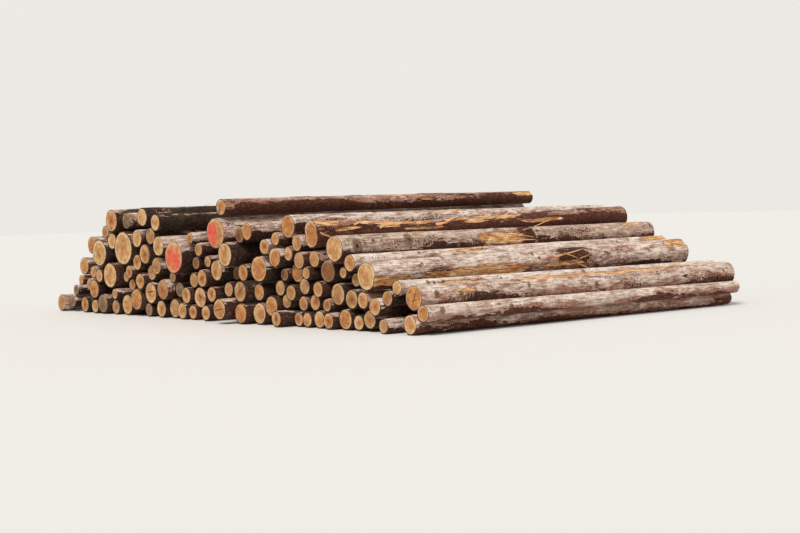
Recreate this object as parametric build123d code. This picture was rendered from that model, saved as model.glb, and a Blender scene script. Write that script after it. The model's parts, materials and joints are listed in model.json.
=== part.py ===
"""A roadside stack of spruce roundwood: logs of one length laid side by side and
on top of each other, each one resting on the logs or the ground beneath it.

Frame, in millimetres: X runs to the right along the stack's front face, +Y runs
along the logs from the front face to the back one, and +Z is up. The origin is
on the ground, in the middle of the stack.
"""

from build123d import *
import os

import numpy as np

CM = 10.0

# The stock: fixed-length roundwood with the usual cutting allowance.
LOG_LENGTH = 4000.0
LENGTH_ALLOWANCE = 80.0
TOTAL_LENGTH = LOG_LENGTH + LENGTH_ALLOWANCE
TAPER = 14.0  # radius that a stem loses from its butt end to its top end
BARK = 4.0  # what the bark adds to the radius of the sawn wood

# How evenly the stack was laid.
SEAT_GAP = 0.4  # clearance between a log and what it rests on
SHIFT = 60.0  # how far to either side of its place a log may come to rest
SKEW = 80.0  # how far its back end may lie aside from its front end
STEP = 5.0  # how closely the places tried for a log follow each other
STAGGER = 30.0  # how unevenly the ends are laid, besides the logs that plainly stand out

# The logs by the level that they lie in, from left to right. For each, in centimetres: its
# place along the face, the height of its middle, the diameter of its sawn end, and how far
# that end stands out of the face, where that is plain to see.
LEVELS = {
    "bottom_course": [
        (-303, 11, 19), (-285, 12, 14, -4), (-255, 13, 17), (-228, 8, 15),
        (-209, 12, 21), (-188, 8, 16), (-164, 11, 22), (-121, 7, 14, -3), (-93, 9, 18),
        (-70, 10, 20, -3), (-51, 9, 17), (-34, 8, 15, -1), (-6, 10, 16),
        (38, 15, 21, 17), (62, 11, 20, 7), (86, 11, 21, 2), (130, 8, 15, 11),
        (141, 7, 14, -3), (155, 7, 14), (174, 8, 16), (193, 8, 15), (214, 10, 19),
        (230, 9, 14), (247, 11, 17), (274, 9, 13, 6), (305, 11, 17),
    ],
    "second_course": [
        (-279, 27, 12, -5), (-243, 29, 14, -3), (-226, 26, 21), (-183, 21, 12),
        (-153, 32, 13, -3), (-145, 18, 23), (-113, 23, 23), (-81, 28, 22, 4),
        (-62, 30, 16, -2), (-42, 24, 17), (-19, 26, 21), (1, 27, 16), (64, 31, 20, 8),
        (84, 27, 17), (100, 18, 20), (125, 22, 14), (138, 29, 15), (151, 18, 14),
        (167, 19, 15), (188, 21, 12), (221, 25, 18), (241, 28, 16), (258, 22, 16),
        (267, 28, 14), (318, 18, 15),
    ],
    "third_course": [
        (-254, 35, 11), (-132, 37, 18), (34, 30, 15), (121, 41, 12, -3), (114, 35, 15),
        (153, 33, 16), (177, 36, 15), (205, 30, 20), (283, 39, 13), (304, 31, 22, -3),
    ],
    "fourth_course": [
        (-251, 50, 20), (-227, 44, 14), (-214, 42, 15), (-190, 43, 28), (-168, 41, 12),
        (-149, 40, 14), (-112, 44, 17), (-96, 53, 18), (-74, 42, 12), (-31, 43, 16),
        (-12, 45, 18), (16, 50, 21), (33, 45, 14, -10), (134, 47, 19, -6),
        (162, 47, 12), (187, 51, 21, -3), (210, 50, 11), (221, 40, 13, -8),
        (249, 51, 26, 3),
    ],
    "fifth_course": [
        (-208, 65, 30, 4), (-153, 66, 36, 3), (-136, 56, 17), (-118, 64, 21),
        (-27, 59, 13, -2), (-5, 66, 12), (55, 59, 17), (90, 55, 26, 4),
        (116, 58, 19, 4), (129, 63, 14), (152, 60, 16), (170, 60, 16), (224, 58, 16),
    ],
    "sixth_course": [
        (-238, 76, 19), (-189, 70, 18), (-138, 79, 19), (-92, 76, 21), (-18, 75, 14),
        (40, 70, 24, 8), (104, 76, 15, 5), (116, 75, 13), (140, 73, 16),
    ],
    "top_course": [
        (-203, 85, 14), (-182, 92, 25), (-159, 92, 18, -2), (-114, 99, 20, 5),
        (-108, 83, 18), (-96, 98, 18), (-33, 86, 12), (26, 99, 17), (51, 87, 16, -2),
        (69, 87, 17), (130, 91, 22),
    ],
    "lower_marked_log": [(-48, 63, 34, 9)],
    "upper_marked_log": [(14, 88, 31, 5)],
    "forked_log": [(171, 84, 19)],
    "crown_log": [(206, 72, 24, 5)],
}

# Stems lie butt first or top first, and their ends are uneven, in no order that shows.
BUTT_FIRST = (False, True, False, False, True)
END_PATTERN = (0.2, -0.7, 0.5, -0.1, 0.9, -0.4, 0.0, 0.6, -0.9, 0.3, -0.3, 0.75, -0.55)

# The forked log's second stem: its size, where its front end starts from the first one's, and
# how far back it has grown into it.
LIMB_DIAMETER = 195.0
LIMB_OFFSET = (-8.0, 0.0, 75.0)
LIMB_REACH = 1500.0
LIMB_SHRINK = 0.8  # its radius there as a share of the first one's

# How finely a log is compared with its neighbours: sections along its length, one in its middle.
SECTIONS = 9
MIDDLE = SECTIONS // 2
ALONG = np.linspace(0, 1, SECTIONS)
BACK_HEIGHT_WEIGHT = 0.3  # what a millimetre at the back end counts for against one in front
SKEW_WEIGHT = 0.05


class Log:
    """A straight tapered stem, known by its circle in each section across the stack."""

    def __init__(self, number, level, place, height, diameter, stands_out=None):
        self.level = level
        front_radius = diameter * CM / 2 + BARK
        back_radius = front_radius + (-TAPER if repeated(BUTT_FIRST, number) else TAPER)
        self.radii = np.linspace(front_radius, back_radius, SECTIONS)
        self.place = place * CM
        self.height = max(height * CM, front_radius)
        uneven = STAGGER * repeated(END_PATTERN, number)
        self.front = uneven if stands_out is None else -stands_out * CM

    def lie(self, front_x, back_x, front_z, back_z):
        self.x = np.linspace(front_x, back_x, SECTIONS)
        self.z = np.linspace(front_z, back_z, SECTIONS)

    def at(self, from_front):
        """The stem's middle and radius at a distance behind its front end."""
        share = (self.front + from_front) / TOTAL_LENGTH
        x, z, radius = (row[0] + share * (row[-1] - row[0]) for row in (self.x, self.z, self.radii))
        return Vector(x, (share - 0.5) * TOTAL_LENGTH, z), radius


def repeated(values, number):
    return values[number % len(values)]


def either_side(reach):
    """Offsets up to the reach on either side of a place, evenly spaced from the place itself."""
    steps = int(reach / STEP)
    return STEP * np.arange(-steps, steps + 1)


def resting_line(log, laid, front_x, back_x):
    """Heights of the two ends of the log's axis, when it rests on those beneath it with
    its ends at the places given, which are arrays of any one shape."""
    x = front_x[..., None] * (1 - ALONG) + back_x[..., None] * ALONG
    floor = np.broadcast_to(log.radii, x.shape)
    for other in laid:
        reach = log.radii + other.radii + SEAT_GAP
        aside = np.abs(x - other.x)
        crest = other.z + np.sqrt(np.clip(reach**2 - aside**2, 0, None))
        floor = np.where(aside < reach, np.maximum(floor, crest), floor)
    # The axis is the lowest straight line above every one of those heights: it passes
    # through two of them, one towards each end.
    level = np.full(front_x.shape, -np.inf)
    slope = np.zeros(front_x.shape)
    for i in range(MIDDLE):
        for j in range(MIDDLE + 1, SECTIONS):
            rise = (floor[..., j] - floor[..., i]) / (ALONG[j] - ALONG[i])
            height = floor[..., i] + rise * (ALONG[MIDDLE] - ALONG[i])
            slope = np.where(height > level, rise, slope)
            level = np.maximum(height, level)
    lack = floor - level[..., None] - slope[..., None] * (ALONG - ALONG[MIDDLE])
    level = level + np.clip(lack.max(axis=-1), 0, None)
    return level - slope / 2, level + slope / 2


def settle(log, laid):
    """Lays a log on those already there, with its front end as near its place as it can."""
    reach = SHIFT + SKEW + 2 * (log.radii.max() + max((o.radii.max() for o in laid), default=0))
    near = [other for other in laid if abs(other.x[0] - log.place) < reach]
    front_x, turn = np.meshgrid(log.place + either_side(SHIFT), either_side(SKEW))
    front_z, back_z = resting_line(log, near, front_x, front_x + turn)
    cost = np.abs(front_x - log.place) + np.abs(front_z - log.height)
    cost += BACK_HEIGHT_WEIGHT * np.abs(back_z - log.height) + SKEW_WEIGHT * np.abs(turn)
    best = np.unravel_index(np.argmin(cost), cost.shape)
    log.lie(front_x[best], front_x[best] + turn[best], front_z[best], back_z[best])


def lay_stack():
    """All the logs, laid from the lowest to the highest."""
    listed = [(level, *sizes) for level, logs in LEVELS.items() for sizes in logs]
    listed.sort(key=lambda row: row[2])
    laid = []
    for number, row in enumerate(listed):
        log = Log(number, *row)
        settle(log, laid)
        laid.append(log)
    return laid


def frustum(front, back):
    """The solid between two ends, each given by its middle and radius, cut square to its axis."""
    (front_middle, front_radius), (back_middle, back_radius) = front, back
    axis = back_middle - front_middle
    return Solid.make_cone(front_radius, back_radius, axis.length, Plane(front_middle, z_dir=axis))


def limb(log):
    """The forked log's second stem, which sinks into the first one towards the back."""
    front, _ = log.at(0)
    back, back_radius = log.at(LIMB_REACH)
    return frustum((front + Vector(*LIMB_OFFSET), LIMB_DIAMETER / 2), (back, back_radius * LIMB_SHRINK))


def solid_of(log):
    stem = frustum(log.at(0), log.at(TOTAL_LENGTH))
    return stem + limb(log) if log.level == "forked_log" else stem


def main():
    os.makedirs("parts", exist_ok=True)
    stack = lay_stack()
    solids = {level: [solid_of(log) for log in stack if log.level == level] for level in LEVELS}
    box = Compound(children=[solid for group in solids.values() for solid in group]).bounding_box()
    to_origin = Location((-box.center().X, -box.center().Y, -box.min.Z))
    for level, group in solids.items():
        placed = [solid.moved(to_origin) for solid in group]
        export_step(Compound(children=placed), f"parts/{level}.step")
    print(len(stack), "logs,", [round(size) for size in box.size], "mm")


if __name__ == "__main__":
    main()
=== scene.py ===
"""Looks of the stack of logs: every log gets its own skin of sawn ends, half-peeled bark, knots,
torn wood and roller marks, grown inwards from the solid that it stands for. Metres throughout."""

import json
import math

import bpy
import numpy as np
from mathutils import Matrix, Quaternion, Vector
from mathutils.bvhtree import BVHTree


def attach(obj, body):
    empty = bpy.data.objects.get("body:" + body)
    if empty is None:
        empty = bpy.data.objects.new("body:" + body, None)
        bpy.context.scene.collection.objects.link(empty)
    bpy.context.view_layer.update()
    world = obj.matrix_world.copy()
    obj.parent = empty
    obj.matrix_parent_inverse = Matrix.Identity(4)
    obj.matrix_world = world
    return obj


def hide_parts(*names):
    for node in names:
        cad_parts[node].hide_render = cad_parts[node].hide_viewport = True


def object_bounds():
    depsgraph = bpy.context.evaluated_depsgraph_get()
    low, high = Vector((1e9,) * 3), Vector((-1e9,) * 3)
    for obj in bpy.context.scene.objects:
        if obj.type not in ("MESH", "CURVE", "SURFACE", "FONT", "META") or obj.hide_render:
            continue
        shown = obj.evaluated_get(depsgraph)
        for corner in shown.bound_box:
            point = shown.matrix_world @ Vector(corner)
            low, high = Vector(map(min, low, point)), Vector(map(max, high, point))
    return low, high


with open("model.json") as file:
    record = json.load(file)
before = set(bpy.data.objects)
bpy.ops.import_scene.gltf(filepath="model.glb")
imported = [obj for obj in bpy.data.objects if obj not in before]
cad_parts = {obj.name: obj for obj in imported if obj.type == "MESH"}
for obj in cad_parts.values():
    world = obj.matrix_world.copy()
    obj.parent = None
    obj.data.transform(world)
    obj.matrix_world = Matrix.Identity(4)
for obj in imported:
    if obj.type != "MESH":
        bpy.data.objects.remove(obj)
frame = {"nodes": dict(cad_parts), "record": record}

CAD_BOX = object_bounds()
CM = 0.01
MM = 0.001

# Where the middle of the front face lies in the frame.
FACE_X = -0.070

# The camera stands where the photograph was taken from.
EYE = (13.264, -10.627, 1.116)
AIM = (0.90, -0.40, 0.47)
ROLL = math.radians(-1.7)
LENS = 73.0
FARTHEST = 300

# How the logs are found and measured in the frame.
RING_REACH = 12 * MM  # how far in Y the points of one sawn end can lie apart
END_INSET = 16 * MM  # the forked log isn't measured nearer to its slanting ends
SIGHT_LINES = 24
SIGHT_SECTIONS = (0.1, 0.5, 0.9)
GROUND_SIGHT = -0.1  # sight lines that fall more steeply than this meet the ground

# How deep the relief of a log is.
BARK_DEPTH = 4.0 * MM
TEAR_DEPTH = 9.0 * MM
KNOT_RISE = 5.0 * MM
RELIEF = 1.5 * MM
RIM_BEVEL = 2.5 * MM
END_RELIEF = 1.2 * MM
WOBBLE = 0.10  # how far a stem's section is from a circle, as a share of its radius
LUMPS = 0.05  # how far it swells along its length, as a share of its radius

# What depends on how openly a log lies, from 0 to 1.
PAINTED_SHADE_BARK = 0.9  # how much more dark bark the logs inside the stack get, as painted shade between the logs
SHADE_BARK_FADE = 4.0  # how fast this painted shade of dark bark goes towards the outside
SEEN_SIDE = 0.12  # where a log's side shows
OPEN_TOP = 0.3  # where nothing lies on a log
SLIVER_ROOM = 90 * MM  # what a sliver on top of a log needs under the stack's highest point

# How fine a log's mesh is.
CELL_HIDDEN = 55 * MM
CELL_OPEN = 10.5 * MM
FINENESS = 2.2  # how fast the cells get finer towards the outside
CLOSE_ROWS = 0.1  # how openly a log lies for its rows to be close together
ROW_OPEN = 1.3  # how long a cell is for its width
ROW_HIDDEN = 4.0
FEWEST_ROUND = 36
END_RINGS = 6
OUTER_RING = 0.985  # where the last ring of a sawn end lies, as a share of the way to its rim

# Slivers.
SLIVER_STEPS = 9
SLIVER_THICKNESS = 2.2 * MM
SLIVER_TIP = 0.4 * MM
SLIVER_ROOT = 12 * MM  # how deep in the log it starts
SLIVER_BEND = 6 * MM
SLIVER_SECTION = ((-1, -0.3), (0.15, -1), (1, 0.2), (-0.1, 1))

# Sawn ends that stand out in the photograph. For each kind, how warm, how grey and how dark at
# heart they are, and their places along the face and heights in cm.
SEEN_ENDS = {
    (0.2, 0.85, 0.1): [(-209, 12), (-285, 12), (-62, 30), (-159, 92), (-121, 7), (-279, 27)],
    (1.0, 0.8, 0.1): [(187, 51), (33, 45), (121, 41), (-27, 59), (51, 87)],
    (1.0, 0.05, 0.2): [
        (69, 87), (304, 31), (318, 18), (-238, 76), (-145, 18), (214, 10), (62, 11), (90, 55),
        (116, 58), (134, 47), (171, 84), (130, 91),
    ],
    (0.15, 0.04, 0.2): [
        (-153, 66), (-189, 70), (-190, 43), (-113, 23), (-96, 98), (-114, 99), (-138, 79),
        (40, 70), (249, 51), (283, 39), (305, 11), (210, 50), (-92, 76),
    ],
    (0.7, 0.05, 0.85): [
        (-255, 13), (-34, 8), (130, 8), (193, 8), (-118, 64), (-149, 40), (-182, 92), (-12, 45),
        (104, 76),
    ],
}

# Cracked ends, by log: the crack's angle in degrees, and its width as a share of the widest.
CRACKS = {
    (-113, 23): (5, 1.0), (38, 15): (8, 0.9), (304, 31): (70, 0.7), (-19, 26): (160, 0.5),
    (130, 8): (90, 0.8), (-208, 65): (-60, 0.4), (-112, 44): (20, 0.5), (64, 31): (40, 0.7),
}

# Long tears in the side, by log: middle angle and width in degrees, then from and to in metres.
TEARS = {
    (249, 51): [(-22, 44, -0.1, 0.4), (-14, 50, 0.6, 1.85), (-5, 20, 2.0, 2.6), (50, 40, 3.75, 4.3)],
    (206, 72): [(12, 74, 1.62, 2.2), (70, 36, 3.6, 4.0)],
    (171, 84): [(60, 34, -0.05, 0.28), (70, 50, 0.45, 1.3), (30, 20, 0.7, 1.0), (65, 60, 1.7, 2.6),
                (22, 22, 0.2, 0.42), (2, 20, 0.95, 1.5), (28, 26, 1.75, 2.1), (8, 22, 2.5, 3.1)],
    (130, 91): [(70, 24, 1.3, 2.1)],
    (26, 99): [(80, 30, 1.8, 2.5), (40, 50, 3.8, 4.2)],
    (224, 58): [(48, 20, 1.0, 1.6), (55, 60, 3.7, 4.3)],
    (283, 39): [(24, 30, 0.45, 0.95), (0, 22, 1.4, 2.0)],
    (304, 31): [(64, 22, 1.2, 3.4), (25, 14, 0.35, 0.6)],
}

# Branch scars that stand out, by log: angle in degrees, metres from the front end, size.
KNOTS = {
    (206, 72): [(8, 0.17, 0.056), (28, 0.77, 0.052), (-4, 0.94, 0.018), (36, 1.08, 0.016),
                (-12, 1.36, 0.022), (52, 0.5, 0.016), (66, 0.25, 0.02), (14, 2.72, 0.026),
                (40, 3.1, 0.018), (-6, 3.3, 0.02), (84, 0.8, 0.03), (120, 0.2, 0.03), (75, 1.9, 0.03)],
    (304, 31): [(16, 0.17, 0.034), (8, 0.44, 0.03), (26, 1.25, 0.024), (0, 2.1, 0.03)],
    (318, 18): [(20, 0.16, 0.03), (5, 0.95, 0.024)],
    (283, 39): [(30, 0.3, 0.022), (22, 0.37, 0.018), (12, 1.15, 0.02), (40, 2.2, 0.022)],
    (249, 51): [(30, 0.52, 0.018), (46, 1.9, 0.024), (20, 2.9, 0.026)],
}

# Patches of rough dark bark, given as the tears are. They paint shade: a band round the log at (206, 72)
# where a dark gap shows across it, and a dark notch in the log at (249, 51).
DARK_BARK_AND_SHADE_PATCHES = {(206, 72): [(6, 220, 2.16, 2.36)], (249, 51): [(24, 80, 2.22, 2.66)]}

# How the sides that show best look: how bleached, how red, and how much bark is left on.
COATS = {
    (224, 58): (0.45, 0.3, -0.55), (249, 51): (0.2, 0.35, -0.35), (283, 39): (0.55, 0.15, -0.7),
    (304, 31): (0.1, 0.45, -0.35), (318, 18): (0.35, 0.75, -0.5), (305, 11): (0.05, 0.7, -0.25),
    (206, 72): (0.1, 0.35, -0.2), (171, 84): (-0.35, 0.7, 0.5), (130, 91): (0.3, 0.25, -0.1),
    (-114, 99): (-0.2, 0.0, 0.6), (-96, 98): (-0.3, 0.0, 0.7), (26, 99): (-0.2, 0.6, 0.35),
    (-182, 92): (-0.1, 0.1, 0.3), (-48, 63): (-0.2, 0.1, 0.25),
}

# Slivers of wood and strips of bark that hang off, by log: angle, metres along, length, lift in
# degrees, half width in millimetres, and how many degrees round the log the tip lies.
SLIVERS = {
    (249, 51): [(-8, 0.7, 0.16, 14, 7, 6), (4, 1.02, 0.22, 10, 9, -8), (-18, 1.45, 0.12, 24, 6, 10),
                (-2, 1.75, 0.3, 12, 12, 5), (-20, 0.25, 0.1, 18, 7, -12), (10, 2.5, 0.14, 20, 6, 14),
                (16, 2.02, 0.42, 26, 12, 8), (38, 2.3, 0.16, 40, 9, -42), (0, 2.36, 0.2, 30, 10, -20)],
    (206, 72): [(-22, 1.7, 0.15, 16, 10, -6), (-10, 2.15, 0.16, 22, 9, 8), (35, 1.75, 0.12, 18, 7, -10),
                (44, 2.2, 0.32, 24, 9, 4), (-30, 2.9, 0.12, 14, 14, -8), (20, 2.1, 0.18, 20, 8, -16)],
    (283, 39): [(26, 0.8, 0.18, 12, 8, 6), (2, 1.9, 0.24, 14, 10, -6), (14, 2.6, 0.12, 20, 6, 10)],
    (304, 31): [(60, 1.6, 0.2, 10, 7, -5), (52, 2.4, 0.28, 12, 9, 6), (30, 0.5, 0.09, 22, 6, -14),
                (66, 3.1, 0.22, 16, 8, -4)],
    (171, 84): [(62, 0.01, 0.22, 26, 14, -44), (12, 0.01, 0.2, 24, 10, -40), (80, 0.5, 0.2, 14, 8, 12),
                (50, 0.62, 0.24, 16, 10, -18), (34, 0.95, 0.18, 18, 9, 14), (70, 1.9, 0.3, 14, 11, -10),
                (28, 0.34, 0.12, 30, 16, -16), (44, 0.42, 0.16, 22, 13, 12), (14, 0.72, 0.1, 34, 14, 18),
                (40, 1.2, 0.14, 26, 17, -12), (20, 1.42, 0.2, 18, 12, 10), (56, 1.55, 0.13, 28, 15, -20),
                (32, 2.2, 0.16, 22, 14, 14), (16, 2.6, 0.12, 30, 12, -10)],
    (224, 58): [(50, 1.2, 0.16, 12, 7, -8), (62, 1.5, 0.12, 20, 6, 10)],
    (130, 91): [(60, 1.4, 0.18, 12, 8, -8), (85, 2.6, 0.2, 12, 8, 8)],
    (26, 99): [(40, 0.9, 0.16, 16, 8, -6), (16, 2.4, 0.2, 12, 9, -8)],
    (-182, 92): [(110, 1.1, 0.2, 12, 9, 6), (150, 2.7, 0.16, 16, 8, -8)],
    (-238, 76): [(150, 0.8, 0.2, 12, 9, 8), (165, 2.2, 0.24, 12, 11, -6)],
}

# What the same six values lie between on other logs.
ANY_SLIVER = ((20, 160), (0.5, 3.6), (0.08, 0.2), (6, 16), (5, 9), (-15, 15))

# Logs with a node of their own. A mark is given by its middle and by its half width and half
# height, all as shares of the sawn end's radius.
OWN_LOOKS = {
    "lower_marked_log": {"mark": (-0.05, -0.16, 1.2, 0.86), "front_end": (0.35, 0.05, 0.0)},
    "upper_marked_log": {"mark": (-0.42, -0.05, 0.8, 0.9), "front_end": (0.7, 0.15, 0.0)},
    "crown_log": {"algae": 0.12, "front_end": (0.15, 0.06, 0.0)},
}


def clamp(values, low=0.0, high=1.0):
    return np.minimum(np.maximum(values, low), high)


def smooth(values, start, end):
    """0 before the start, 1 past the end, and a soft step between."""
    t = clamp((values - start) / (end - start))
    return t * t * (3 - 2 * t)


def lattice(cells):
    """A random number from 0 to 1 for each whole-numbered point."""
    x, y, z = (cells[..., i].astype(np.uint32) for i in range(3))
    mixed = x * np.uint32(0x8DA6B343) ^ y * np.uint32(0xD8163841) ^ z * np.uint32(0xCB1AB31F)
    mixed = (mixed ^ (mixed >> np.uint32(15))) * np.uint32(0x2C1B3C6D)
    mixed = (mixed ^ (mixed >> np.uint32(12))) * np.uint32(0x297A2D39)
    return ((mixed ^ (mixed >> np.uint32(15))) & np.uint32(0xFFFF)) / 65535.0


def value_noise(points):
    cells = np.floor(points)
    f = points - cells
    f = f * f * (3 - 2 * f)
    cells = cells.astype(np.int64)
    total = 0.0
    for corner in np.ndindex(2, 2, 2):
        weight = np.prod(np.where(corner, f, 1 - f), axis=-1)
        total = total + weight * lattice(cells + np.array(corner))
    return total


def noise(points, scale, octaves=3, stretch=(1, 1, 1)):
    """Soft noise from 0 to 1 with features of 1/scale metres."""
    spots = points * scale * np.array(stretch)
    total, weight, most = 0.0, 1.0, 0.0
    for octave in range(octaves):
        total = total + weight * value_noise(spots * 2**octave + 31.7 * octave)
        most += weight
        weight *= 0.5
    return total / most


class Log:
    """One log of the frame: its node, its axis from front to back, and its size."""

    def __init__(self, node, points):
        self.node = node
        self.front, self.front_radius = end_circle(points, points[:, 1].min())
        self.back, self.back_radius = end_circle(points, points[:, 1].max())
        if node == "forked_log":
            # Two stems share its front end, so its axis starts between them.
            ends = points[points[:, 1] < points[:, 1].min() + RING_REACH]
            self.front = (ends.min(axis=0) + ends.max(axis=0)) / 2
        span = self.back - self.front
        self.length = float(np.linalg.norm(span))
        self.along = span / self.length
        self.across = np.cross(self.along, (0, 0, 1))
        self.across /= np.linalg.norm(self.across)
        self.up = np.cross(self.across, self.along)
        self.place = ((self.front[0] - FACE_X) / CM, self.front[2] / CM)

    def radius(self, share):
        return self.front_radius + (self.back_radius - self.front_radius) * share


def end_circle(points, y):
    """Middle and radius of the circle through the points of one sawn end."""
    ring = points[np.abs(points[:, 1] - y) < RING_REACH]
    x, z = ring[:, 0], ring[:, 2]
    terms = np.column_stack((2 * x, 2 * z, np.ones(len(ring))))
    (cx, cz, rest), *_ = np.linalg.lstsq(terms, x * x + z * z, rcond=None)
    return np.array((cx, ring[:, 1].mean(), cz)), math.sqrt(rest + cx * cx + cz * cz)


def solids(node):
    """The separate solids in a node of the frame, each as its corner points."""
    mesh = node.data
    points = np.empty(len(mesh.vertices) * 3)
    mesh.vertices.foreach_get("co", points)
    keys, where = np.unique(np.round(points.reshape(-1, 3), 5), axis=0, return_inverse=True)
    ends = np.empty(len(mesh.edges) * 2, dtype=np.int32)
    mesh.edges.foreach_get("vertices", ends)
    a, b = where.ravel()[ends].reshape(-1, 2).T
    labels = np.arange(len(keys))
    while True:
        lower = labels.copy()
        least = np.minimum(labels[a], labels[b])
        np.minimum.at(lower, a, least)
        np.minimum.at(lower, b, least)
        lower = lower[lower]
        if (lower == labels).all():
            break
        labels = lower
    return [keys[labels == label] for label in np.unique(labels)]


def find_logs():
    """All the logs, node by node, from left to right in each."""
    logs = []
    for name, node in frame["nodes"].items():
        logs += sorted((Log(name, points) for points in solids(node)), key=lambda log: log.place)
    for number, log in enumerate(logs):
        log.number = number
    return logs


def nearest(logs, place):
    """The log whose front end is nearest to a place given along the face and up, in cm."""
    return min(logs, key=lambda log: math.dist(log.place, place))


def openness(logs):
    """How much of each log's side is seen from outside, from 0 to 1: the share of the sight
    lines out of it, in three sections of the stack, that meet no other log and no ground."""
    angles = np.linspace(0, 2 * np.pi, SIGHT_LINES, endpoint=False)
    sight = np.column_stack((np.cos(angles), np.sin(angles)))
    seen = np.zeros(len(logs))
    for share in SIGHT_SECTIONS:
        middles = np.array([(log.front + (log.back - log.front) * share)[[0, 2]] for log in logs])
        radii = np.array([log.radius(share) for log in logs])
        gaps = middles[None] - middles[:, None]
        ahead = np.einsum("abi,si->abs", gaps, sight)
        aside = np.abs(gaps[..., 0, None] * sight[:, 1] - gaps[..., 1, None] * sight[:, 0])
        blocked = ((aside < radii[None, :, None]) & (ahead > 1e-6)).any(axis=1)
        blocked |= sight[:, 1] < GROUND_SIGHT
        seen += (~blocked).mean(axis=1) / len(SIGHT_SECTIONS)
    return seen


def surface_reach(log, rows_y, angles):
    """Distance from the forked log's axis to its solid's surface, by looking out from it."""
    mesh = frame["nodes"][log.node].data
    tree = BVHTree.FromPolygons([v.co for v in mesh.vertices], [p.vertices for p in mesh.polygons])
    reach = np.empty((len(rows_y), len(angles)))
    for i, y in enumerate(np.clip(rows_y, END_INSET, log.length - END_INSET)):
        middle = log.front + log.along * y
        for j, angle in enumerate(angles):
            out = log.across * math.cos(angle) + log.up * math.sin(angle)
            hit = tree.ray_cast(Vector(middle), Vector(out))
            reach[i, j] = hit[3] if hit[0] is not None else log.radius(y / log.length)
    return reach


def angle_apart(angles, middle):
    return np.abs((angles - middle + np.pi) % (2 * np.pi) - np.pi)


def patch_cover(angles, y, middle, width, start, end):
    """A long patch on a side: 1 at its middle, 0 along its edge and less outside it."""
    beside = angle_apart(angles, math.radians(middle)) / math.radians(width / 2)
    lengthwise = np.abs(y - (start + end) / 2) / ((end - start) / 2)
    return 1 - np.hypot(beside, lengthwise**2)


def bark_and_tears(log, spots, angles, y):
    """How much bark and how much torn wood there is at each point of a side, from -1 to 1. The bark is also
    painted shade: more of it underneath, on logs inside the stack and in the dark patches.
    """
    looks = log.looks
    # Bark stays in streaks along the stem and is off where rollers went; there is more of it underneath,
    # partly bark left there and partly painted shade on the undersides.
    low = -np.sin(angles) * 0.75
    streaks = noise(spots, 10, 4, (1, 0.22, 1))
    bark = (streaks - 0.5) * 2.4 + low + looks["bark"]
    torn = np.full_like(bark, -1.0)
    ragged = (noise(spots, 22, 3, (1, 0.25, 1)) - 0.5) * 1.3
    # Dark bark patches, which paint the shade of a gap and of a notch.
    for patch in looks["patches"]:
        bark = np.maximum(bark, patch_cover(angles, y, *patch) + ragged * 0.8)
    for tear in looks["tears"]:
        torn = np.maximum(torn, patch_cover(angles, y, *tear) + ragged)
    if looks["scars"] > 0 and log.open > SEEN_SIDE:
        behind = smooth(y, 0.45, 0.8) - 1
        torn = np.maximum(torn, (noise(spots, 6, 4, (1, 0.3, 1)) - 1 + looks["scars"] + behind) * 4)
    torn = clamp(torn, -1, 1)
    return clamp(np.minimum(bark, 0.5 - torn), -1, 1), torn


def knots_on(log, angles, y):
    """1 in the middle of a branch scar, 0 along its edge and less outside it."""
    knot = np.full_like(y, -1.0)
    for middle, place, size in log.looks["knots"]:
        aside = angle_apart(angles, math.radians(middle)) * log.radius(0.5)
        knot = np.maximum(knot, 1 - np.hypot(aside * 0.75, y - place) / size)
    return knot


def side(log, angles, rows_y):
    """The log's side as rows along it of points round it: the distance of each point from the
    axis, never past the solid, and how much bark (painted shade included), torn wood and knot there is."""
    around = len(angles)
    if log.node == "forked_log":
        reach = surface_reach(log, rows_y, angles)
    else:
        reach = np.repeat(log.radius(rows_y / log.length)[:, None], around, axis=1)
    y = np.repeat(rows_y[:, None], around, axis=1)
    turned = np.stack((reach * np.cos(angles), y, reach * np.sin(angles)), axis=-1)
    spots = turned + np.array((log.number * 7.31, log.number * 3.17, 0))
    bark, torn = bark_and_tears(log, spots, angles, y)
    knot = knots_on(log, angles, y)
    # Sections aren't round, and the stem swells at its whorls.
    wobble = noise(spots, 5, 2, (1, 0.2, 1))
    lumps = noise(spots, 13, 2, (1, 0.5, 1))
    wobble, lumps = wobble - wobble.max(), lumps - lumps.max()
    depth = BARK_DEPTH * (1 - smooth(bark, -0.12, 0.12)) + TEAR_DEPTH * smooth(torn, -0.05, 0.4)
    depth = depth - KNOT_RISE * smooth(knot, -0.3, 0.3) * (1 - smooth(knot, 0.45, 0.7))
    rough = RELIEF * (1 - noise(spots, 60, 2, (1, 0.4, 1)))
    distance = np.minimum(reach * (1 + WOBBLE * wobble + LUMPS * lumps) - depth - rough, reach)
    return distance, bark, torn, knot


def with_ends(rows):
    """Rows of the side, with its first and last row repeated for the rings of the sawn ends."""
    return np.pad(rows, ((END_RINGS, END_RINGS), (0, 0)), mode="edge")


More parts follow.
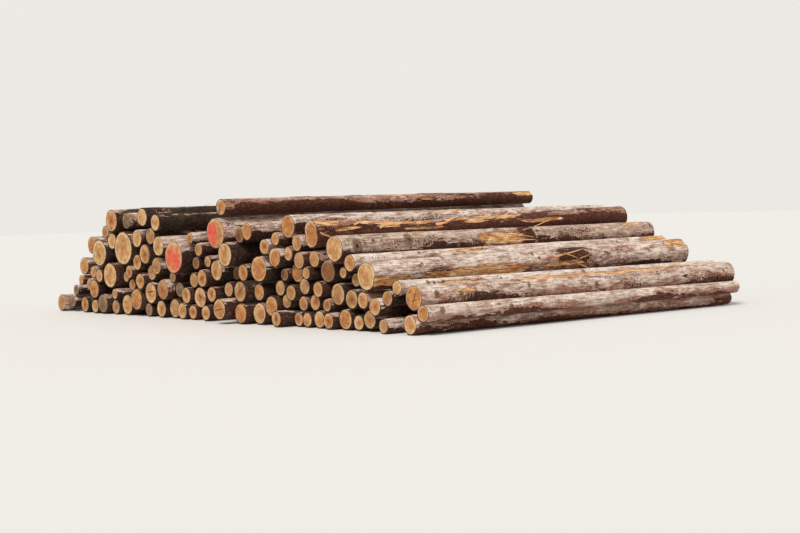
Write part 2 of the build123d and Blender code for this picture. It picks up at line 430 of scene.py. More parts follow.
class Skin:
    """A log's surface in rows of points round its axis: rings from the front pith, rows along
    the side, and rings to the back pith."""

    def __init__(self, log, cell):
        widest = max(log.front_radius, log.back_radius)
        around = max(FEWEST_ROUND, int(2 * np.pi * widest / cell))
        rows = int(log.length / (cell * (ROW_OPEN if log.open > CLOSE_ROWS else ROW_HIDDEN)))
        rows_y = np.linspace(RIM_BEVEL, log.length - RIM_BEVEL, rows + 1)
        self.angles = np.linspace(0, 2 * np.pi, around, endpoint=False)
        distance, *kinds = side(log, self.angles, rows_y)
        self.outline = with_ends(distance)
        self.bark, self.torn, self.knot = (with_ends(kind) for kind in kinds)
        shares = np.linspace(0, OUTER_RING, END_RINGS + 1)[1:, None]
        self.radial = np.concatenate((distance[0] * shares, distance, distance[-1] * shares[::-1]))
        y = np.concatenate((np.zeros(END_RINGS), rows_y, np.full(END_RINGS, log.length)))
        self.offset = np.repeat(y[:, None], around, axis=1)
        self.x = self.radial * np.cos(self.angles)
        self.z = self.radial * np.sin(self.angles)
        # Sawn ends aren't quite flat.
        flat = np.stack((self.x, self.offset * 0.2, self.z), axis=-1)
        uneven = END_RELIEF * noise(flat + log.number * 5.1, 25, 2)
        self.offset[:END_RINGS] += uneven[:END_RINGS]
        self.offset[-END_RINGS:] -= uneven[-END_RINGS:]
        self.piths_y = (uneven[0].mean(), log.length - uneven[-1].mean())


def faces_between(rows, around):
    """Quads between the rows, and triangles from the first and the last row to the two piths,
    which follow the rows' points."""
    here = np.arange(around)
    after = np.roll(here, -1)
    starts = np.arange(rows - 1)[:, None] * around
    corners = (starts + here, starts + around + here, starts + around + after, starts + after)
    quads = np.stack(corners, -1).reshape(-1, 4)[:, ::-1]
    tail = (rows - 1) * around
    front_fan = np.column_stack((np.full(around, rows * around), here, after))
    back_fan = np.column_stack((np.full(around, rows * around + 1), tail + after, tail + here))
    return quads, np.concatenate((front_fan, back_fan))[:, ::-1]


def build_mesh(log, cell):
    """The log's closed mesh, whose second material is for the sawn ends."""
    skin = Skin(log, cell)
    rows, around = skin.radial.shape
    across = np.cos(skin.angles)[None, :, None] * log.across
    out = across + np.sin(skin.angles)[None, :, None] * log.up
    points = log.front + skin.radial[..., None] * out + skin.offset[..., None] * log.along
    piths = [log.front + log.along * y for y in skin.piths_y]
    points = np.concatenate((points.reshape(-1, 3), piths))
    quads, fans = faces_between(rows, around)
    mesh = bpy.data.meshes.new(f"{log.name}_mesh")
    mesh.from_pydata(points.tolist(), [], quads.tolist() + fans.tolist())
    row_of = np.repeat(np.arange(rows - 1), around)
    is_end = (row_of < END_RINGS) | (row_of >= rows - END_RINGS - 1)
    index = np.append(is_end, np.ones(len(fans), dtype=bool)).astype(np.int32)
    mesh.polygons.foreach_set("material_index", index)
    mesh.polygons.foreach_set("use_smooth", np.ones(len(index), dtype=bool))
    set_attributes(mesh, log, skin)
    set_unrolled(mesh, quads, around, skin.offset)
    return mesh


def set_attributes(mesh, log, skin):
    """What the materials read at each point, with the two piths last."""
    looks = log.looks
    random = np.random.default_rng(log.number + 11)
    is_front = np.append(skin.offset < log.length / 2, (True, False))

    def number(name, values, piths=(0, 0)):
        values = np.append(values, piths).astype(np.float32)
        mesh.attributes.new(name, "FLOAT", "POINT").data.foreach_set("value", values)

    def vector(name, *columns):
        values = np.empty((len(mesh.vertices), 3), dtype=np.float32)
        for i, column in enumerate(columns):
            values[:, i] = column
        mesh.attributes.new(name, "FLOAT_VECTOR", "POINT").data.foreach_set("vector", values.ravel())

    # The bark value also carries painted shade: more bark underneath, inside the stack and in the dark
    # patches.
    number("bark", skin.bark)
    number("torn", skin.torn)
    number("knot", skin.knot)
    number("share", skin.radial / skin.outline)
    number("inward", skin.outline - skin.radial, (0.1, 0.1))
    number("wood_radius", skin.outline, (skin.outline[0].mean(), skin.outline[-1].mean()))
    # The end's own plane, from its pith, which is a little off the middle.
    aside = random.uniform(-0.12, 0.12, 2) * log.front_radius
    x = np.append(skin.x, (0, 0)) - aside[0]
    z = np.append(skin.z, (0, 0)) - aside[1]
    vector("pith", x, z, log.number * 0.37)
    turn = random.uniform(0, np.pi)
    sawn = (x * math.cos(turn) + z * math.sin(turn), z * math.cos(turn) - x * math.sin(turn))
    vector("sawn", *sawn, log.number * 0.61)
    degrees, strength = looks["crack"]
    angle = math.radians(degrees)
    over = z * math.cos(angle) - x * math.sin(angle)
    lengthwise = x * math.cos(angle) + z * math.sin(angle)
    vector("crack", over, lengthwise / log.front_radius, np.where(is_front, strength, 0.0))
    vector("tone", *np.where(is_front[:, None], looks["front_end"], looks["back_end"]).T)
    vector("seed", random.uniform(0, 9), random.uniform(0, 1), 0)
    vector("coat", looks["bleach"], looks["red"], looks["algae"])
    painted = np.full(len(x), -1.0)
    if looks["mark"]:
        middle_x, middle_z, half_width, half_height = looks["mark"]
        aside, above = x / log.front_radius - middle_x, z / log.front_radius - middle_z
        painted[is_front] = (1 - np.hypot(aside / half_width, above / half_height))[is_front]
    number("painted", painted, ())


def set_unrolled(mesh, quads, around, offset):
    """A map of the side: turns round the log, and metres along it."""
    layer = mesh.uv_layers.new(name="unrolled")
    turns = quads % around
    wraps = (np.ptp(turns, axis=1) > 1)[:, None]
    u = np.where(wraps & (turns == 0), around, turns) / around
    corners = np.stack((u, offset.ravel()[quads]), -1).reshape(-1, 2)
    rest = np.zeros((len(mesh.loops) - len(corners), 2))
    layer.data.foreach_set("uv", np.concatenate((corners, rest)).astype(np.float32).ravel())


def name_logs(logs):
    """Numbers the logs of a level from left to right; a log with its own node keeps its name."""
    for node in {log.node for log in logs}:
        level = [log for log in logs if log.node == node]
        for number, log in enumerate(level, 1):
            log.name = f"{node}_{number:02d}" if len(level) > 1 else f"{node}_stem"


def any_end(random):
    """How warm, how grey and how dark at heart a sawn end is, by chance."""
    warm = random.uniform(0.1, 0.85)
    return warm, random.choice((0.02, 0.08, 0.15, 0.3)), random.choice((0.0, 0.2, 0.6))


def room_above(log):
    """How far the log lies under the highest point of the stack."""
    return CAD_BOX[1][2] - max(log.front[2] + log.front_radius, log.back[2] + log.back_radius)


def any_slivers(log, random):
    """A few small slivers anywhere on the upper side, where there is room for them."""
    if log.open <= OPEN_TOP or room_above(log) <= SLIVER_ROOM:
        return []
    count = random.integers(0, 4)
    return [tuple(random.uniform(*limits) for limits in ANY_SLIVER) for _ in range(count)]


def any_looks(log, random):
    """What a log looks like by chance."""
    return {
        "front_end": any_end(random),
        "back_end": any_end(random),
        "algae": random.uniform(0, 0.4),
        # Hidden logs get more dark bark: painted shade between the logs.
        "bark": random.uniform(-0.6, 0.1) + PAINTED_SHADE_BARK * (1 - clamp(log.open * SHADE_BARK_FADE)),
        "bleach": random.uniform(-0.35, 0.35),
        "red": random.uniform(0, 0.45),
        "scars": random.choice((0.0, 0.26, 0.34)),
        "slivers": any_slivers(log, random),
        "crack": (random.uniform(0, 180), random.choice((0.0, 0.0, 0.0, 0.22))),
        "tears": [], "knots": [], "patches": [], "mark": None,
    }


def choose_looks(logs):
    """What each log looks like: by chance, and as seen where it stands out."""
    for log, seen in zip(logs, openness(logs)):
        log.open = float(seen)
        log.looks = any_looks(log, np.random.default_rng(1000 + log.number))
    for tone, places in SEEN_ENDS.items():
        for place in places:
            nearest(logs, place).looks["front_end"] = tone
    listed = {"crack": CRACKS, "knots": KNOTS, "patches": DARK_BARK_AND_SHADE_PATCHES, "slivers": SLIVERS}
    for look, values in listed.items():
        for place, value in values.items():
            nearest(logs, place).looks[look] = value
    for place, tears in TEARS.items():
        nearest(logs, place).looks.update(tears=tears, scars=0.0)
    for place, (bleach, red, bark) in COATS.items():
        nearest(logs, place).looks.update(bleach=bleach, red=red, bark=bark)
    for log in logs:
        log.looks.update(OWN_LOOKS.get(log.node, {}))


# Materials.


def colour(red, green, blue):
    """A colour as it is seen, in steps of 255, made into one that a shader takes."""
    steps = (red, green, blue)
    return tuple(((c / 255 + 0.055) / 1.055) ** 2.4 if c > 10 else c / 3294 for c in steps) + (1,)


PEELED = (colour(128, 92, 76), colour(204, 176, 158), colour(250, 236, 225))
INNER = (colour(106, 60, 42), colour(158, 101, 75), colour(204, 154, 122))
# Bark colours, darkened so that they also paint the shade between the logs.
BARK_AND_SHADE = (colour(16, 10, 9), colour(44, 29, 23), colour(102, 80, 64))
RED_BARK = (colour(48, 21, 16), colour(102, 54, 41), colour(158, 102, 80))
FRESH = (colour(152, 88, 52), colour(216, 148, 88), colour(244, 200, 142), colour(251, 232, 194))
GREY_PEELED = (colour(132, 106, 89), colour(193, 166, 146), colour(236, 214, 198))
GREY_INNER = (colour(106, 80, 64), colour(162, 129, 108), colour(206, 175, 153))
PALE_END = (colour(190, 142, 86), colour(216, 176, 120), colour(236, 206, 154))
ORANGE_END = (colour(158, 90, 40), colour(188, 118, 58), colour(214, 152, 88))
GREY_END = (colour(58, 48, 40), colour(98, 84, 70), colour(136, 118, 100))
BROWN_END = (colour(62, 34, 22), colour(112, 70, 44), colour(150, 104, 66))
RED = (colour(200, 66, 44), colour(212, 76, 60), colour(226, 104, 90))

SHEEN = 0.25
SIDE_BUMP = 5 * MM
END_BUMP = 1.2 * MM
SPLINTER_BUMP = 1 * MM
GROWTH_RING = 4.4 * MM


class Shader:
    """Adds nodes to one material, each by a short call that gives back its output."""

    def __init__(self, name):
        self.material = bpy.data.materials.new(name)
        self.material.use_nodes = True
        self.tree = self.material.node_tree
        self.surface = self.tree.nodes["Principled BSDF"]

    def put(self, socket, value):
        if isinstance(value, bpy.types.NodeSocket):
            self.tree.links.new(value, socket)
        elif value is not None:
            socket.default_value = value

    def node(self, kind, **settings):
        node = self.tree.nodes.new(f"ShaderNode{kind}")
        for name, value in settings.items():
            setattr(node, name, value)
        return node

    def attribute(self, name, output="Fac"):
        return self.node("Attribute", attribute_name=name).outputs[output]

    def parts(self, vector):
        node = self.node("SeparateXYZ")
        self.put(node.inputs[0], vector)
        return node.outputs

    def maths(self, operation, a, b=None, c=None, clamped=False):
        node = self.node("Math", operation=operation, use_clamp=clamped)
        for socket, value in zip(node.inputs, (a, b, c)):
            self.put(socket, value)
        return node.outputs[0]

    def times(self, a, b, clamped=False):
        return self.maths("MULTIPLY", a, b, clamped=clamped)

    def plus(self, a, b, clamped=False):
        return self.maths("ADD", a, b, clamped=clamped)

    def scaled(self, value, factor, offset):
        """The value times the factor, plus the offset."""
        return self.maths("MULTIPLY_ADD", value, factor, offset)

    def vector_maths(self, operation, a, b=None):
        node = self.node("VectorMath", operation=operation)
        self.put(node.inputs[0], a)
        self.put(node.inputs[1], b)
        return node.outputs["Value" if operation == "LENGTH" else "Vector"]

    def stretched(self, vector, x, y, z):
        return self.vector_maths("MULTIPLY", vector, (x, y, z))

    def texture(self, kind, vector, **numbers):
        node = self.node(f"Tex{kind}")
        self.put(node.inputs["Vector"], vector)
        for name, number in numbers.items():
            node.inputs[name].default_value = number
        return node.outputs

    def noise(self, vector, scale, detail=4.0):
        return self.texture("Noise", vector, Scale=scale, Detail=detail)["Fac"]

    def shifts(self, vector, scale):
        """Three noises at once, each from -0.5 to 0.5."""
        noises = self.texture("Noise", vector, Scale=scale)["Color"]
        return self.vector_maths("SUBTRACT", noises, (0.5, 0.5, 0.5))

    def voronoi(self, vector, scale):
        return self.texture("Voronoi", vector, Scale=scale)["Distance"]

    def step(self, value, start, end):
        """0 at the start and 1 at the end, whichever of them is lower."""
        node = self.node("MapRange", interpolation_type="SMOOTHSTEP")
        self.put(node.inputs["Value"], value)
        limits = {"From Min": min(start, end), "From Max": max(start, end),
                  "To Min": float(start > end), "To Max": float(start < end)}
        for name, number in limits.items():
            node.inputs[name].default_value = number
        return node.outputs["Result"]

    def ramp(self, value, *stops):
        """Colours spread evenly over the values from 0 to 1."""
        node = self.node("ValToRGB")
        self.put(node.inputs[0], value)
        elements = node.color_ramp.elements
        while len(elements) < len(stops):
            elements.new(0.5)
        for i, stop in enumerate(stops):
            elements[i].position = i / (len(stops) - 1)
            elements[i].color = stop
        return node.outputs["Color"]

    def mix(self, share, a, b):
        """From one colour to the other."""
        node = self.node("Mix", data_type="RGBA", blend_type="MIX")
        self.put(node.inputs[0], share)
        self.put(node.inputs[6], a)
        self.put(node.inputs[7], b)
        return node.outputs[2]

    def tint(self, base, value, start, end, share, colour):
        """The base, with a share of the colour as the value goes from start to end."""
        return self.mix(self.times(self.step(value, start, end), share), base, colour)

    def finish(self, base, roughness, height, depth):
        bump = self.node("Bump")
        bump.inputs["Distance"].default_value = depth
        self.put(bump.inputs["Height"], height)
        normal = bump.outputs[0]
        inputs = {"Base Color": base, "Roughness": roughness, "Normal": normal, "Specular IOR Level": SHEEN}
        for name, value in inputs.items():
            self.put(self.surface.inputs[name], value)
        return self.material


class Side(Shader):
    """A log's side, with what its parts share. Its places differ from log to log: plain ones,
    ones a little longer along the log, and ones stretched along the grain."""

    def __init__(self, name):
        super().__init__(name)
        place = self.node("TexCoord").outputs["Object"]
        seed = self.attribute("seed", "Vector")
        self.spot = self.vector_maths("ADD", place, self.stretched(seed, 3.0, 5.0, 0.0))
        self.patch = self.stretched(self.spot, 1.0, 0.3, 1.0)
        self.grain = self.stretched(self.spot, 1.0, 0.07, 1.0)
        self.fibre = self.noise(self.grain, 90, 4)
        self.fleck = self.noise(self.patch, 85, 4)
        self.blotch = self.noise(self.patch, 16, 4)
        self.field = self.noise(self.spot, 3, 3)
        self.fine = self.noise(self.spot, 120, 3)
        self.own = self.parts(seed)[1]
        self.bleach, self.red, self.algae = self.parts(self.attribute("coat", "Vector"))
        # The bark value also carries painted shade, which the bark, stains and crumbs below darken.
        self.bark = self.attribute("bark")


def roller_dents(s):
    """Short dark ticks across the grain, in rows along it: where they are, how far each place is
    from the middle of a tick, and a chance for each tick."""
    turn, metres, _ = s.parts(s.node("UVMap", uv_map="unrolled").outputs[0])
    wander = s.scaled(s.noise(s.spot, 1.6, 1), 1.2, -0.6)
    lane = s.plus(s.scaled(turn, 5.0, s.own), wander)
    uneven = s.scaled(s.noise(s.spot, 30, 3), 0.7, -0.35)
    pitch = s.times(metres, s.scaled(s.own, 14.0, 28.0))
    each = s.node("CombineXYZ")
    for socket, value in zip(each.inputs, (s.maths("FLOOR", pitch), s.maths("FLOOR", lane), s.own)):
        s.put(socket, value)
    chance = s.texture("WhiteNoise", each.outputs[0])["Value"]
    across = s.maths("PINGPONG", s.scaled(uneven, 0.12, s.plus(lane, 0.5)), 0.5)
    reach = s.scaled(chance, 0.10, 0.01)
    tick = s.maths("PINGPONG", s.scaled(uneven, 0.3, s.plus(pitch, 0.5)), 0.5)
    dents = s.times(s.step(s.maths("SUBTRACT", across, reach), 0.02, -0.02), s.step(tick, 0.22, 0.13))
    dents = s.times(dents, s.step(chance, 0.15, 0.3))
    dents = s.times(dents, s.step(s.noise(s.spot, 3.1, 3), 0.5, 0.58))
    return dents, tick, chance


def peeled_wood(s, peeled, inner, speckle):
    """Peeled wood, bleached unevenly, with specks, stains of inner bark and crumbs of outer bark."""
    tone = s.scaled(s.fibre, 0.45, s.scaled(s.blotch, 0.45, s.times(s.fine, 0.1)))
    tone = s.step(s.scaled(s.bleach, 0.12, tone), 0.36, 0.64)
    base = s.ramp(tone, *peeled)
    mottle = s.noise(s.patch, 42, 3)
    base = s.tint(base, mottle, 0.55, 0.66, 0.55, inner[0])
    base = s.tint(base, mottle, 0.45, 0.34, 0.6, peeled[2])
    specks = s.noise(s.spot, 190, 3)
    base = s.tint(base, specks, 0.53, 0.66, speckle, inner[0])
    base = s.tint(base, specks, 0.46, 0.34, speckle * 0.6, peeled[2])
    stain = s.plus(s.scaled(s.field, 0.5, s.blotch), s.scaled(s.bark, 0.18, -0.04))
    stain = s.scaled(s.red, 0.2, stain)
    base = s.tint(base, stain, 0.68, 0.86, 0.85, s.ramp(s.fibre, *inner))
    # Faint bands round the stem.
    around = s.noise(s.stretched(s.spot, 0.25, 1.0, 0.25), 38, 5)
    base = s.tint(base, around, 0.52, 0.72, speckle - 0.3, inner[0])
    crumbs = s.plus(s.fleck, s.scaled(s.field, 0.5, s.times(s.bark, 0.14)))
    return s.tint(base, crumbs, 0.77, 0.85, 0.85, colour(88, 56, 45))


def outer_bark(s, base, tick):
    """Scaly bark in ragged patches over the base, with a breath of algae on both. Also gives back
    where the bark is, and its scales."""
    scales = s.voronoi(s.stretched(s.spot, 1.0, 0.5, 1.0), 60)
    tone = s.scaled(scales, 0.5, s.scaled(s.fleck, 0.7, -0.12))
    # The bark colours also paint the shade between the logs.
    bark = s.mix(s.times(s.red, 0.9, clamped=True), s.ramp(tone, *BARK_AND_SHADE), s.ramp(tone, *RED_BARK))
    algae = s.times(s.step(s.noise(s.spot, 7, 4), 0.46, 0.7), s.algae)
    bark = s.mix(s.times(algae, 0.6), bark, colour(104, 104, 66))
    base = s.mix(s.times(algae, 0.35), base, colour(150, 148, 116))
    ragged = s.scaled(s.noise(s.patch, 45, 6), 1.5, -0.75)
    comb = s.times(s.scaled(tick, -1.2, 0.3), s.scaled(s.fleck, 1.6, -0.1))
    edge = s.plus(s.times(comb, s.step(s.field, 0.47, 0.62)), ragged)
    has_bark = s.step(s.plus(s.bark, edge), -0.02, 0.05)
    return s.mix(has_bark, base, bark), has_bark, scales


def torn_wood(s, base, tick, chance):
    """Fresh fibres in the torn places, with a brown edge and pressed ticks. Also gives back where
    they are, and the fibres."""
    splinters = s.scaled(s.noise(s.grain, 55, 5), 2.0, -1.0)
    torn = s.plus(s.attribute("torn"), splinters)
    fibres = s.scaled(s.noise(s.grain, 130, 4), 0.7, s.times(s.blotch, 0.3))
    fibres = s.step(fibres, 0.34, 0.66)
    is_torn = s.step(torn, 0.0, 0.1)
    base = s.tint(base, torn, -0.3, -0.02, 0.7, colour(122, 74, 50))
    base = s.mix(s.step(torn, 0.0, 0.12), base, s.ramp(fibres, *FRESH))
    pressed = s.times(s.step(tick, 0.34, 0.1), is_torn)
    broken = s.scaled(chance, 0.25, s.scaled(s.blotch, 0.7, s.fleck))
    pressed = s.times(pressed, s.step(broken, 1.02, 1.14))
    return s.mix(s.times(pressed, 0.5), base, colour(104, 60, 42)), is_torn, fibres


def with_knots(s, base, knots):
    """Dark eyes in brown rings: small ones anywhere, and large ones where they were seen."""
    eye = s.plus(s.voronoi(s.spot, knots), s.scaled(s.fine, 0.06, -0.03))
    base = s.tint(base, eye, 0.2, 0.1, 0.5, colour(128, 92, 70))
    base = s.tint(base, eye, 0.1, 0.06, 0.85, colour(66, 44, 34))
    scar = s.plus(s.attribute("knot"), s.scaled(s.noise(s.spot, 50, 4), 0.9, -0.45))
    halo = s.times(s.step(scar, -0.1, 0.2), 0.8)
    base = s.mix(halo, base, s.ramp(s.fine, colour(70, 54, 40), colour(118, 94, 70)))
    base = s.tint(base, scar, 0.3, 0.5, 0.75, colour(146, 108, 80))
    return s.mix(s.step(scar, 0.6, 0.75), base, colour(48, 32, 24))


def side_material(name, peeled, inner, knots, speckle):
    """The side's material; knots is how close the small ones are, speckle how strong the specks."""
    s = Side(name)
    dents, tick, chance = roller_dents(s)
    base = peeled_wood(s, peeled, inner, speckle)
    base, has_bark, scales = outer_bark(s, base, tick)
    base, is_torn, fibres = torn_wood(s, base, tick, chance)
    base = with_knots(s, base, knots)
    base = s.mix(s.times(dents, s.scaled(s.fleck, 1.2, 0.15)), base, colour(66, 40, 32))
    height = s.scaled(s.fibre, 0.3, s.times(has_bark, s.plus(scales, 0.3)))
    height = s.scaled(dents, -0.8, height)
    height = s.scaled(is_torn, s.times(fibres, 0.8), height)
    height = s.scaled(s.fleck, 0.3, height)
    roughness = s.scaled(has_bark, 0.18, s.scaled(s.blotch, 0.25, 0.6))
    return s.finish(base, roughness, height, SIDE_BUMP)


def splinter_material(name):
    s = Shader(name)
    spot = s.node("TexCoord").outputs["Object"]
    fibre = s.noise(s.stretched(spot, 1.0, 0.08, 1.0), 220, 4)
    base = s.mix(s.step(s.noise(spot, 6, 3), 0.42, 0.6), s.ramp(fibre, *FRESH), s.ramp(fibre, *INNER))
    return s.finish(base, s.scaled(fibre, 0.3, 0.55), fibre, SPLINTER_BUMP)


class End(Shader):
    """A log's sawn end, with what its parts share."""

    def __init__(self, name):
        super().__init__(name)
        self.pith = self.attribute("pith", "Vector")
        self.warm, self.grey, self.heart = self.parts(self.attribute("tone", "Vector"))
        self.own = self.parts(self.attribute("seed", "Vector"))[1]
        self.blotch = self.noise(self.pith, 14, 4)
        shift = self.stretched(self.shifts(self.pith, 9), 0.012, 0.012, 0.0)
        wavy = self.vector_maths("ADD", self.pith, shift)
        self.distance = self.vector_maths("LENGTH", self.stretched(wavy, 1.0, 1.0, 0.0))
        wave = self.maths("SINE", self.times(self.distance, 2 * math.pi / GROWTH_RING))
        self.rings = self.scaled(wave, 0.5, 0.5)
        sawn = self.attribute("sawn", "Vector")
        self.marks = self.noise(self.stretched(sawn, 1.0, 0.06, 1.0), 260, 3)


def sapwood_and_heart(s):
    """Wood as warm as the log's own, darker at heart and paler outside, with rings and saw marks."""
    spread = s.step(s.blotch, 0.36, 0.64)
    drift = s.scaled(s.blotch, 0.5, -0.25)
    pale, orange = s.ramp(spread, *PALE_END), s.ramp(spread, *ORANGE_END)
    base = s.mix(s.plus(s.warm, drift, clamped=True), pale, orange)
    core = s.plus(s.attribute("share"), drift)
    base = s.tint(base, core, 0.85, 0.35, 0.5, colour(190, 124, 68))
    base = s.tint(base, core, 0.5, 0.3, s.heart, colour(164, 84, 40))
    base = s.tint(base, core, 0.2, 0.08, s.heart, colour(92, 50, 30))
    share = s.maths("DIVIDE", s.distance, s.attribute("wood_radius"))
    outer = s.scaled(s.blotch, 0.14, s.plus(share, -0.07))
    pale_rim = s.scaled(s.own, 0.5, 0.08)
    base = s.tint(base, outer, 0.68, 0.84, pale_rim, colour(234, 206, 160))
    line = s.times(s.step(outer, 0.66, 0.72), s.step(outer, 0.80, 0.73))
    base = s.mix(s.times(line, pale_rim), base, colour(150, 92, 48))
    base = s.mix(s.times(s.rings, 0.36), base, colour(150, 94, 50))
    base = s.tint(base, s.marks, 0.5, 0.7, 0.36, colour(238, 210, 162))
    return s.tint(base, s.marks, 0.5, 0.3, 0.38, colour(126, 78, 44))


def weathered(s, base):
    """Grey or brown weathering over the base, and dirt in patches."""
    mottle = s.noise(s.pith, 40, 5)
    dull = s.mix(s.warm, s.ramp(mottle, *GREY_END), s.ramp(mottle, *BROWN_END))
    patchy = s.scaled(s.noise(s.pith, 11, 4), 1.6, -0.8)
    base = s.mix(s.plus(s.grey, s.times(s.grey, patchy), clamped=True), base, dull)
    dirt = s.step(s.noise(s.vector_maths("ADD", s.pith, (4.0, 2.0, 0.0)), 18, 5), 0.52, 0.68)
    return s.mix(s.times(dirt, 0.5), base, colour(112, 76, 52))


def main_crack(s):
    """1 inside the end's main crack, which has ragged sides."""
    over, reach, strength = s.parts(s.attribute("crack", "Vector"))
    shake = s.scaled(s.noise(s.pith, 40, 3), 0.016, -0.008)
    apart = s.maths("ABSOLUTE", s.plus(over, shake))
    width = s.times(s.times(strength, 0.0055), s.step(s.maths("ABSOLUTE", reach), 0.9, 0.2))
    return s.maths("LESS_THAN", apart, width)


def sprayed(s, base, paint):
    """Worn spray paint over the base, with uneven edges and runs."""
    spray = s.scaled(s.noise(s.stretched(s.pith, 1.6, 0.7, 1.0), 22, 6), 1.4, -0.7)
    cover = s.step(s.plus(s.attribute("painted"), spray), -0.06, 0.42)
    runs = s.noise(s.stretched(s.pith, 1.0, 0.22, 1.0), 21, 3)
    cover = s.times(cover, s.scaled(s.step(runs, 0.36, 0.5), 0.6, 0.4))
    worn = s.times(cover, s.scaled(s.step(s.marks, 0.3, 0.55), 0.33, 0.64))
    tone = s.scaled(s.marks, 0.4, s.times(s.noise(s.pith, 35, 5), 0.6))
    return s.mix(worn, base, s.ramp(s.step(tone, 0.36, 0.62), *paint))


def rimmed(s, base):
    """The bark's dark rim round the base, with a thin pale line of fresh sapwood inside it."""
    ragged = s.plus(s.attribute("inward"), s.scaled(s.noise(s.pith, 45, 4), 0.010, -0.005))
    base = s.tint(base, ragged, 0.022, 0.01, 0.35, colour(230, 200, 154))
    # More bark, painted shade included, widens the dark rim.
    has_bark = s.step(s.plus(s.attribute("bark"), s.scaled(s.blotch, 1.2, -0.6)), -0.5, 0.1)
    rim = s.step(s.maths("SUBTRACT", ragged, s.times(has_bark, 0.0045)), 0.0072, 0.0046)
    bark = s.ramp(s.blotch, colour(44, 27, 20), colour(84, 54, 40))
    return s.mix(rim, base, s.mix(has_bark, colour(108, 66, 47), bark))


def end_material(name, paint=None):
    s = End(name)
    crack = main_crack(s)
    base = weathered(s, sapwood_and_heart(s))
    base = s.mix(crack, base, colour(46, 28, 20))
    if paint:
        base = sprayed(s, base, paint)
    height = s.maths("SUBTRACT", s.scaled(s.marks, 0.6, s.times(s.rings, 0.12)), crack)
    return s.finish(rimmed(s, base), s.scaled(s.marks, 0.25, 0.62), height, END_BUMP)


def make_materials():
    """The materials of a log's side and of its sawn ends, for each slot."""
    ends = end_material("sawn_end")
    plain, marked = (side_material(name, PEELED, INNER, 6.5, 0.5) for name in ("peeled_side", "marked_side"))
    grey = side_material("grey_side", GREY_PEELED, GREY_INNER, 5.0, 0.7)
    return {
        "peeled_spruce": (plain, ends),
        "marked_spruce": (marked, end_material("marked_end", RED)),
        "grey_barked_spruce": (grey, ends),
    }


def sliver_mesh(log, angle, start, length, lift, breadth, sweep):
    """A splinter that has torn loose at one end: a thin blade, wide at its root inside the log,
    that curls away from it to a point."""
    lift = math.radians(lift)
    rooted = log.radius(start / log.length) - SLIVER_ROOT
    if log.node == "forked_log":
        rooted = surface_reach(log, (start,), (math.radians(angle),))[0, 0] - SLIVER_ROOT
    points, faces = [], []
    for i in range(SLIVER_STEPS):
        t = i / (SLIVER_STEPS - 1)
        turned = math.radians(angle + sweep * t)
        out = log.across * math.cos(turned) + log.up * math.sin(turned)
        aside = np.cross(log.along, out)
        taper = (1 - t) ** 0.7 * (1 + 0.25 * math.sin(7 * t + 9 * start))
        width = breadth * MM * taper + SLIVER_TIP
        thick = SLIVER_THICKNESS * (1 - 0.7 * t)
        rise = length * t * math.sin(lift * (0.5 + t)) * 0.8
        middle = log.front + log.along * (start + length * t) + out * (rooted + rise)
        middle = middle + aside * SLIVER_BEND * math.sin(3 * t + 5 * start)
        for across, over in SLIVER_SECTION:
            points.append(middle + aside * width * across + out * thick * over)
    for i in range(SLIVER_STEPS - 1):
        for j in range(4):
            a, b = 4 * i + j, 4 * i + (j + 1) % 4
            faces.append((a, b, b + 4, a + 4))
    faces += [(3, 2, 1, 0), tuple(4 * (SLIVER_STEPS - 1) + j for j in range(4))]
    mesh = bpy.data.meshes.new("sliver")
    mesh.from_pydata([tuple(p) for p in points], [], faces)
    return mesh


def new_object(name, data):
    thing = bpy.data.objects.new(name, data)
    bpy.context.scene.collection.objects.link(thing)
    return thing


def add_piece(name, mesh, log, materials):
    piece = new_object(name, mesh)
    for material in materials:
        mesh.materials.append(material)
    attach(piece, "root")
    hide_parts(log.node)


def cell_of(log):
    """How wide the cells of a log's mesh are."""
    return CELL_HIDDEN * (CELL_OPEN / CELL_HIDDEN) ** float(clamp(log.open * FINENESS))


def dress(logs, materials, splinter):
    """Puts each log's mesh, and the slivers that hang off it, in place of its solid."""
    slots = {part["node"]: part["material_slot"] for part in frame["record"]["subparts"]}
    for log in logs:
        slot = slots[log.node]
        add_piece(log.name, build_mesh(log, cell_of(log)), log, materials[slot])
        for number, values in enumerate(log.looks["slivers"], 1):
            add_piece(f"{log.name}_sliver_{number}", sliver_mesh(log, *values), log, [splinter])


# The stage.

FLOOR_HALF = 60.0
FLOOR_COLOUR = (0.80, 0.79, 0.77, 1.0)
FLOOR_ROUGHNESS = 0.9
BACKDROP = (0.845, 0.815, 0.775, 1.0)
SKY_COLOUR = (1.0, 0.99, 0.97, 1.0)
SKY_LIGHT = 0.5
SUN_COLOUR = (1.0, 0.97, 0.92)
SUN_LIGHT = 2.4
SUN_WIDTH = math.radians(24)
SUN_DIRECTION = (-0.35, 0.72, -0.95)


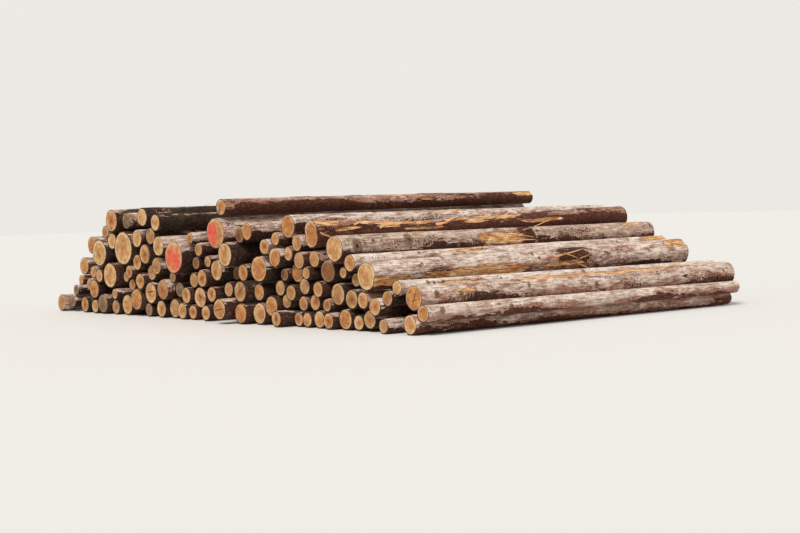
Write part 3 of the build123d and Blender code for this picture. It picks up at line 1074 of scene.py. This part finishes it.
def make_floor():
    """A plain pale floor that takes the shadow."""
    corners = [(x * FLOOR_HALF, y * FLOOR_HALF, 0) for x, y in ((-1, -1), (1, -1), (1, 1), (-1, 1))]
    mesh = bpy.data.meshes.new("floor")
    mesh.from_pydata(corners, [], [(0, 1, 2, 3)])
    floor = new_object("floor", mesh)
    pale = bpy.data.materials.new("pale_floor")
    pale.use_nodes = True
    surface = pale.node_tree.nodes["Principled BSDF"]
    surface.inputs["Base Color"].default_value = FLOOR_COLOUR
    surface.inputs["Roughness"].default_value = FLOOR_ROUGHNESS
    mesh.materials.append(pale)


def make_sky():
    """Even light from all round, and a pale backdrop that only what the camera sees shows."""
    world = bpy.data.worlds.new("soft_sky")
    bpy.context.scene.world = world
    world.use_nodes = True
    tree = world.node_tree
    light = tree.nodes["Background"]
    light.inputs["Color"].default_value = SKY_COLOUR
    light.inputs["Strength"].default_value = SKY_LIGHT
    backdrop = tree.nodes.new("ShaderNodeBackground")
    backdrop.inputs["Color"].default_value = BACKDROP
    rays = tree.nodes.new("ShaderNodeLightPath")
    mixed = tree.nodes.new("ShaderNodeMixShader")
    seen = rays.outputs["Is Camera Ray"]
    for kind in ("Is Glossy Ray", "Is Transmission Ray"):
        either = tree.nodes.new("ShaderNodeMath")
        either.operation = "MAXIMUM"
        tree.links.new(seen, either.inputs[0])
        tree.links.new(rays.outputs[kind], either.inputs[1])
        seen = either.outputs[0]
    for output, socket in zip((seen, light.outputs[0], backdrop.outputs[0]), mixed.inputs):
        tree.links.new(output, socket)
    tree.links.new(mixed.outputs[0], tree.nodes["World Output"].inputs["Surface"])


def make_light():
    """One broad soft light from high up, in front of the stack and to its right."""
    sun = bpy.data.lights.new("soft_sun", "SUN")
    sun.energy = SUN_LIGHT
    sun.angle = SUN_WIDTH
    sun.color = SUN_COLOUR
    lamp = new_object("soft_sun", sun)
    lamp.rotation_euler = Vector(SUN_DIRECTION).to_track_quat("-Z", "Y").to_euler()


def make_camera():
    view = bpy.data.cameras.new("camera")
    view.lens = LENS
    view.clip_end = FARTHEST
    camera = new_object("camera", view)
    camera.location = EYE
    level = (Vector(AIM) - Vector(EYE)).to_track_quat("-Z", "Y")
    camera.rotation_euler = (level @ Quaternion((0, 0, 1), ROLL)).to_euler()
    bpy.context.scene.camera = camera


make_floor()
make_sky()
make_light()
make_camera()
bpy.context.scene.view_settings.view_transform = "Standard"

stack = find_logs()
name_logs(stack)
choose_looks(stack)
dress(stack, make_materials(), splinter_material("splinter"))
